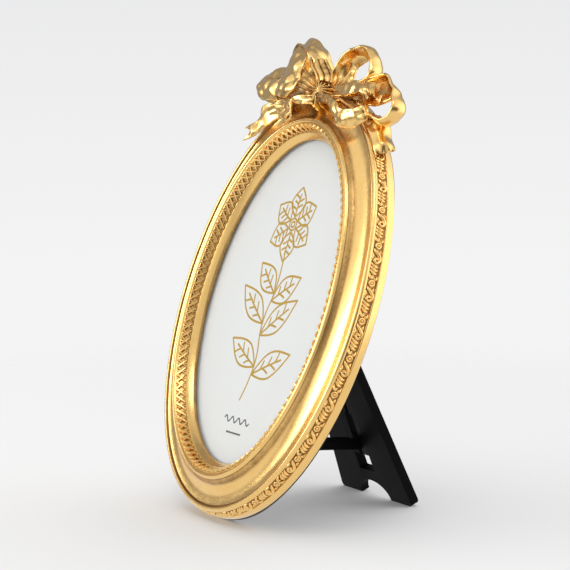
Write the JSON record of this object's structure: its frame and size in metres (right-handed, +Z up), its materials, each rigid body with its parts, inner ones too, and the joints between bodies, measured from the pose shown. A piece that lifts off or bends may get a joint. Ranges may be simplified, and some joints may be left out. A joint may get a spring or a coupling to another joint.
{
  "type": "oval picture frame",
  "caption": "Free-standing oval table picture frame: gilded moulding crowned by a ribbon bow, glazed front, black easel back with a folding leg, stay arm and swivel catches.",
  "frame": {"origin": "middle of the flat on the rear rim's lower edge, on which the frame rests on the table", "axes": "+Z up, front of the picture towards -Y, +X to the viewer's right when facing the picture"},
  "size_m": [0.1704, 0.1098, 0.2397],
  "materials": {
    "gilding": "burnished gold leaf over cast resin, darker in the hollows",
    "glazing": "clear, polished",
    "card": "matt white card with gold line drawing",
    "filler": "plain corrugated card",
    "black_flock": "black flocked board",
    "black_leg": "black, satin",
    "zinc": "bright zinc plate"
  },
  "bodies": {
    "frame": {"moulding_ring": "gilding", "rear_rim": "black_flock", "glass": "glazing", "insert_card": "card", "filler_board": "filler", "easel_board": "black_flock", "bow_knot": "gilding", "bow_loop_upper_left": "gilding", "bow_loop_upper_right": "gilding", "bow_loop_side_left": "gilding", "bow_loop_side_right": "gilding", "bow_curl_front_left": "gilding", "bow_curl_front_right": "gilding", "bow_tail_left": "gilding", "bow_tail_right": "gilding", "button_screws": "zinc", "hinge_leaf_board": "zinc", "hinge_pin": "zinc", "hinge_board_rivets": "zinc", "stay_bracket": "zinc", "stay_pin": "zinc", "bracket_rivets": "zinc"},
    "leg": {"strut": "black_leg", "hinge_leaf_strut": "zinc", "hinge_strut_rivets": "zinc"},
    "stay": {"stay_arm": "black_leg"},
    "catch_1": {"turn_button_1": "zinc"},
    "catch_2": {"turn_button_2": "zinc"},
    "catch_3": {"turn_button_3": "zinc"},
    "catch_4": {"turn_button_4": "zinc"}
  },
  "joints": [
    {"name": "leg_fold", "type": "hinge", "parent": "frame", "child": "leg", "pos_m": [0, 0.04438, 0.12034], "axis": [-1, 0, 0], "range_deg": [0, 40.8]},
    {"name": "stay_fold", "type": "hinge", "parent": "frame", "child": "stay", "pos_m": [0, 0.0183, 0.03411], "axis": [1, 0, 0], "range_deg": [0, 75.7]},
    {"name": "catch_1_turn", "type": "hinge", "parent": "frame", "child": "catch_1", "pos_m": [0.04616, 0.06005, 0.17352], "axis": [0, -0.9466, 0.3223], "range_deg": [-90, 90]},
    {"name": "catch_2_turn", "type": "hinge", "parent": "frame", "child": "catch_2", "pos_m": [-0.04616, 0.06005, 0.17352], "axis": [0, -0.9466, 0.3223], "range_deg": [-90, 90]},
    {"name": "catch_3_turn", "type": "hinge", "parent": "frame", "child": "catch_3", "pos_m": [-0.04616, 0.01234, 0.03335], "axis": [0, -0.9466, 0.3223], "range_deg": [-90, 90]},
    {"name": "catch_4_turn", "type": "hinge", "parent": "frame", "child": "catch_4", "pos_m": [0.04616, 0.01234, 0.03335], "axis": [0, -0.9466, 0.3223], "range_deg": [-90, 90]}
  ],
  "couplings": [
    {"joint": "stay_fold", "follows": "leg_fold", "ratio": 1.8554}
  ]
}
